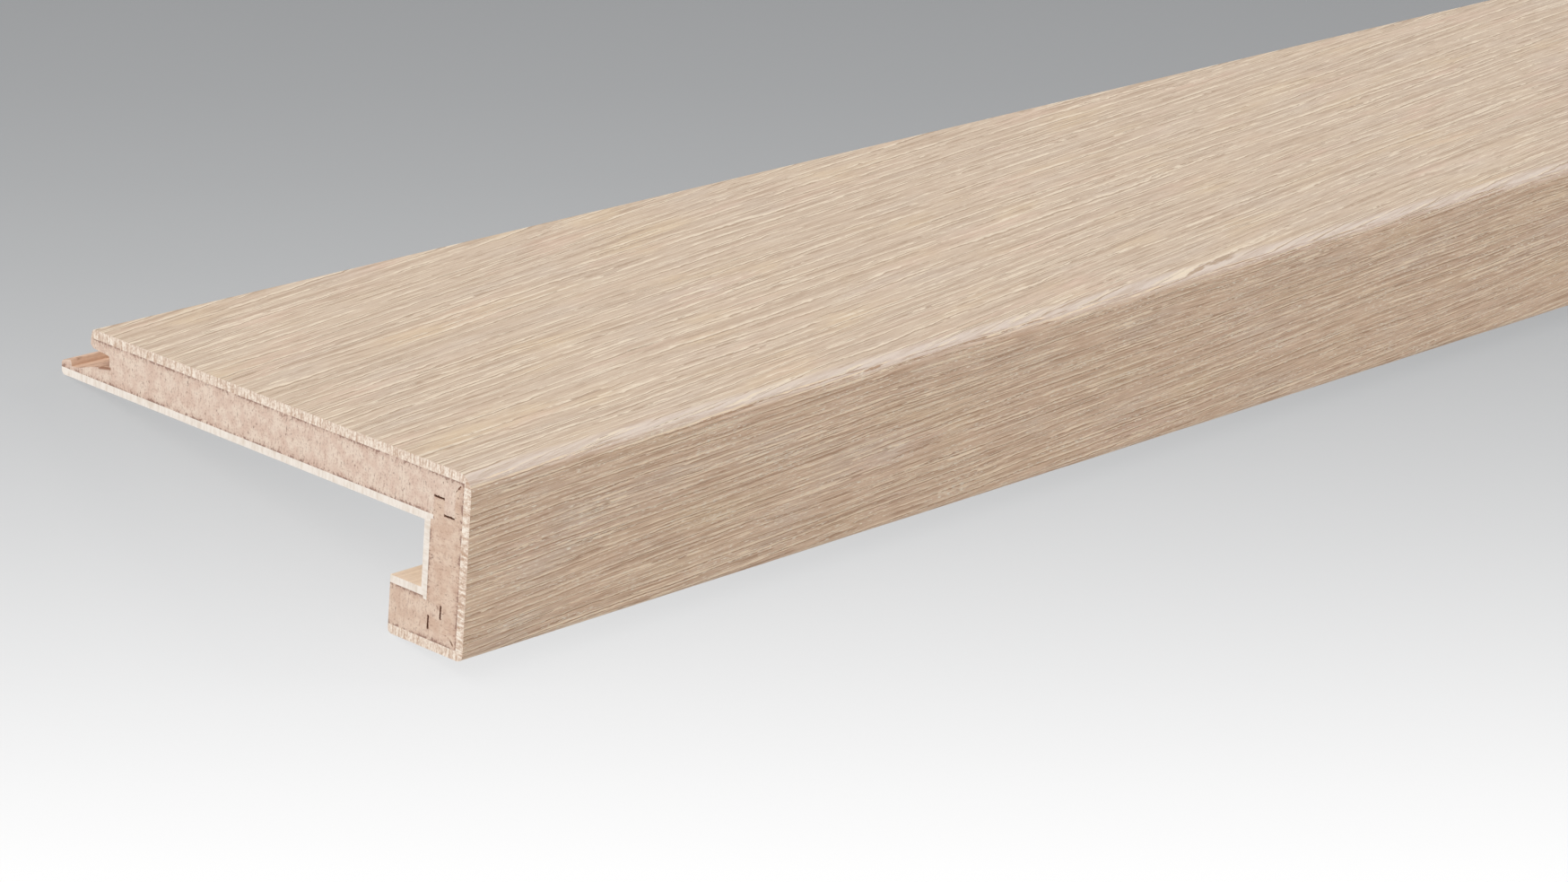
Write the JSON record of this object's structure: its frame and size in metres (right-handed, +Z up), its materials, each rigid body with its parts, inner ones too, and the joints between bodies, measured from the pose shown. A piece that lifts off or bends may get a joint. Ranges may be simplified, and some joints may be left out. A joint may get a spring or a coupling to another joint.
{
  "type": "u-shaped stair nosing",
  "caption": "Layered oak stair nosing: a tread board, a front board and a return lip joined by lock mitres into a U, with a rounded nose and a click edge along the back.",
  "frame": {"origin": "middle of the rectangle that the nosing covers on the floor, at floor level", "axes": "+X along the length, +Y from the front face towards the click edge, +Z up"},
  "size_m": [1.2, 0.1312, 0.0442],
  "materials": {
    "oak": "brushed, limed and satin lacquered",
    "fibreboard": "sawn and milled",
    "softwood_veneer": "raw peeled veneer"
  },
  "bodies": {
    "root": {"tread_wear_layer": "oak", "tread_core": "fibreboard", "tread_backing": "softwood_veneer", "front_wear_layer": "oak", "front_core": "fibreboard", "front_backing": "softwood_veneer", "lip_wear_layer": "oak", "lip_core": "fibreboard", "lip_backing": "softwood_veneer"}
  },
  "joints": []
}
